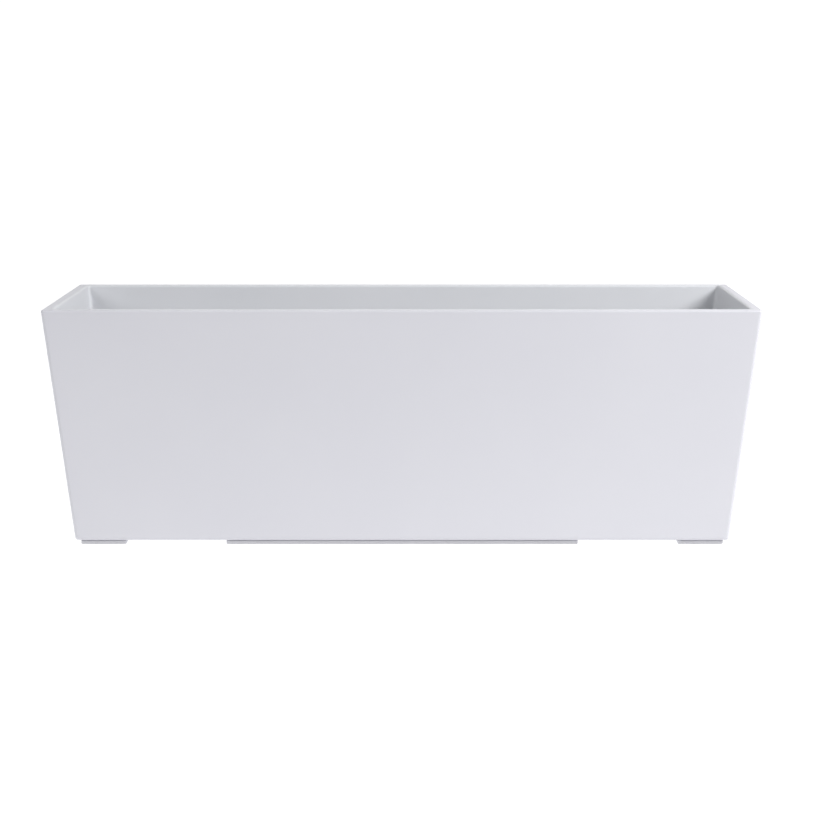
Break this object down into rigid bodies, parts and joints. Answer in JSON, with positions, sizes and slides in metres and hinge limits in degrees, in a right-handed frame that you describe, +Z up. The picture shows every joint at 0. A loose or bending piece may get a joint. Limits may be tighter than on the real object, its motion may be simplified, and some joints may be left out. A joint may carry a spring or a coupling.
{
  "type": "self watering planter",
  "caption": "Long tapered trough planter with a thick plain rim and low feet: a water-holding casing, a lift-out grow liner, wick baskets, overflow, fill tube and float gauge.",
  "frame": {"origin": "on the ground under the middle of the trough", "axes": "+X along the trough to the right as seen from the front, +Y from front to back, +Z up"},
  "size_m": [0.7596, 0.2536, 0.26],
  "materials": {
    "casing_plastic": "fine moulded texture, off-white with a cool cast",
    "foot_plastic": "plain moulded, a shade greyer than the casing",
    "liner_plastic": "fine moulded texture, off-white with a cool cast",
    "handle_plastic": "smooth moulded",
    "basket_plastic": "smooth moulded, mid grey",
    "fitting_plastic": "smooth moulded, light grey",
    "bung_plastic": "smooth moulded, dark grey",
    "seal_rubber": "plain black rubber",
    "pin_steel": "bright drawn wire",
    "clear_plastic": "clear polished",
    "float_foam": "closed-cell foam",
    "stem_plastic": "plain extruded rod",
    "marker_plastic": "glossy red"
  },
  "bodies": {
    "casing": {"outer_casing": "casing_plastic", "front_left_foot": "foot_plastic", "front_right_foot": "foot_plastic", "rear_left_foot": "foot_plastic", "rear_right_foot": "foot_plastic", "front_runner": "foot_plastic", "rear_runner": "foot_plastic", "overflow_pipe": "fitting_plastic"},
    "bung": {"drain_bung": "bung_plastic", "bung_seal": "seal_rubber"},
    "liner": {"grow_liner": "liner_plastic", "fill_tube": "fitting_plastic", "lid_hinge_pin": "pin_steel", "gauge_tube": "fitting_plastic", "gauge_end_plug": "basket_plastic", "stem_guide": "basket_plastic"},
    "basket_1": {"wick_basket_1": "basket_plastic"},
    "basket_2": {"wick_basket_2": "basket_plastic"},
    "basket_3": {"wick_basket_3": "basket_plastic"},
    "basket_4": {"wick_basket_4": "basket_plastic"},
    "lid": {"fill_lid": "basket_plastic"},
    "float": {"gauge_float": "float_foam", "float_stem": "stem_plastic", "gauge_marker": "marker_plastic"},
    "cap": {"sight_cap": "clear_plastic"},
    "handle_left": {"left_handle": "handle_plastic"},
    "handle_right": {"right_handle": "handle_plastic"}
  },
  "joints": [
    {"name": "liner_lift", "type": "slide", "parent": "casing", "child": "liner", "axis": [0, 0, 1], "range_m": [0, 0.27]},
    {"name": "bung_pull", "type": "slide", "parent": "casing", "child": "bung", "axis": [0, 0, -1], "range_m": [0, 0.02]},
    {"name": "basket_1_lift", "type": "slide", "parent": "liner", "child": "basket_1", "axis": [0, 0, 1], "range_m": [0, 0.26]},
    {"name": "basket_2_lift", "type": "slide", "parent": "liner", "child": "basket_2", "axis": [0, 0, 1], "range_m": [0, 0.26]},
    {"name": "basket_3_lift", "type": "slide", "parent": "liner", "child": "basket_3", "axis": [0, 0, 1], "range_m": [0, 0.26]},
    {"name": "basket_4_lift", "type": "slide", "parent": "liner", "child": "basket_4", "axis": [0, 0, 1], "range_m": [0, 0.26]},
    {"name": "lid_flip", "type": "hinge", "parent": "liner", "child": "lid", "pos_m": [0.35323, 0.07523, 0.2275], "axis": [0, 1, 0], "range_deg": [0, 100]},
    {"name": "float_rise", "type": "slide", "parent": "liner", "child": "float", "axis": [0, 0, 1], "range_m": [0, 0.036]},
    {"name": "cap_pull", "type": "slide", "parent": "liner", "child": "cap", "axis": [0, 0, 1], "range_m": [0, 0.09]},
    {"name": "left_handle_swing", "type": "hinge", "parent": "liner", "child": "handle_left", "pos_m": [-0.35856, 0, 0.23], "axis": [0, -1, 0], "range_deg": [0, 180]},
    {"name": "right_handle_swing", "type": "hinge", "parent": "liner", "child": "handle_right", "pos_m": [0.35856, 0, 0.23], "axis": [0, 1, 0], "range_deg": [0, 180]}
  ]
}
